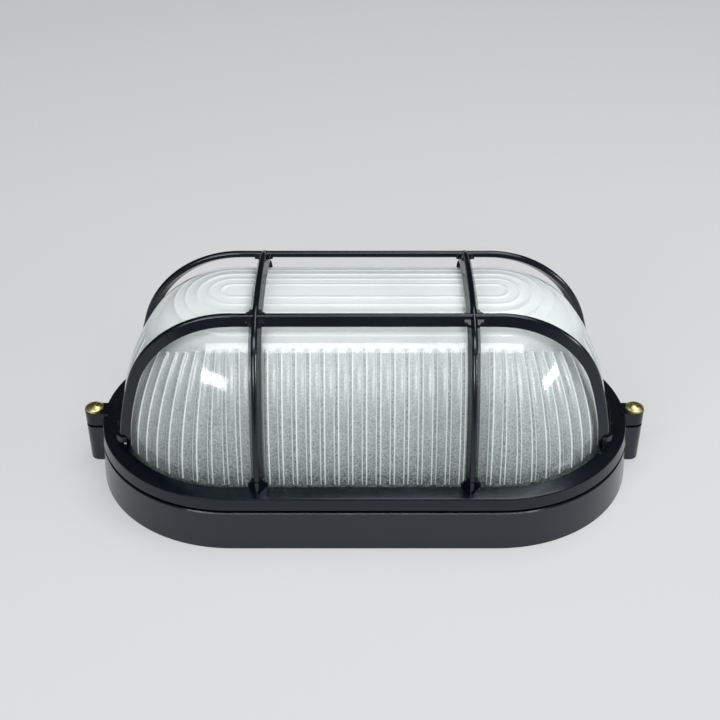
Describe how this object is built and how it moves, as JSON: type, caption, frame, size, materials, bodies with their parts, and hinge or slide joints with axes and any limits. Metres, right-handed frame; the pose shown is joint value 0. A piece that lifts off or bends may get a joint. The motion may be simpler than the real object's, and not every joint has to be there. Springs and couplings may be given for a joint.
{
  "type": "bulkhead light",
  "caption": "Oval wall light with a cast case and guard over fluted glass, a screw lamp in a porcelain holder on a bracket, a reflector and a terminal block.",
  "frame": {"origin": "centre of the back face, on the wall plane", "axes": "+Z out of the wall towards the crown of the guard, +X along the light towards the cable entry, -Y towards the side that the picture shows"},
  "size_m": [0.2268, 0.114, 0.086],
  "materials": {
    "black_coat": "semi-gloss",
    "fluted_glass": "frosted inside",
    "black_rubber": "matte",
    "yellow_brass": "passivated",
    "contact_brass": "satin",
    "porcelain": "glazed",
    "zinc_plate": "satin",
    "zinc_sheet": "satin",
    "frosted_bulb": "frosted",
    "white_enamel": "gloss",
    "pale_plastic": "matte",
    "brown_sleeve": "matte",
    "blue_sleeve": "matte",
    "green_sleeve": "matte"
  },
  "bodies": {
    "root": {"base_casting": "black_coat", "guard_frame": "black_coat", "glass_cover": "fluted_glass", "cover_gasket": "black_rubber", "guard_screw_left": "yellow_brass", "guard_screw_right": "yellow_brass", "lampholder_body": "porcelain", "lampholder_shell": "contact_brass", "centre_contact": "contact_brass", "shell_contact": "contact_brass", "lampholder_screws": "zinc_plate", "lampholder_nuts": "zinc_plate", "lampholder_bracket": "zinc_sheet", "bracket_screws": "zinc_plate", "lamp": "frosted_bulb", "reflector_plate": "white_enamel", "reflector_screws": "zinc_plate", "terminal_block": "pale_plastic", "terminal_sleeves": "contact_brass", "terminal_screws": "zinc_plate", "terminal_block_screws": "zinc_plate", "earth_screw": "yellow_brass", "earth_washer": "zinc_plate", "live_wire": "brown_sleeve", "neutral_wire": "blue_sleeve", "earth_wire": "green_sleeve", "cable_grommet": "black_rubber"}
  },
  "joints": []
}
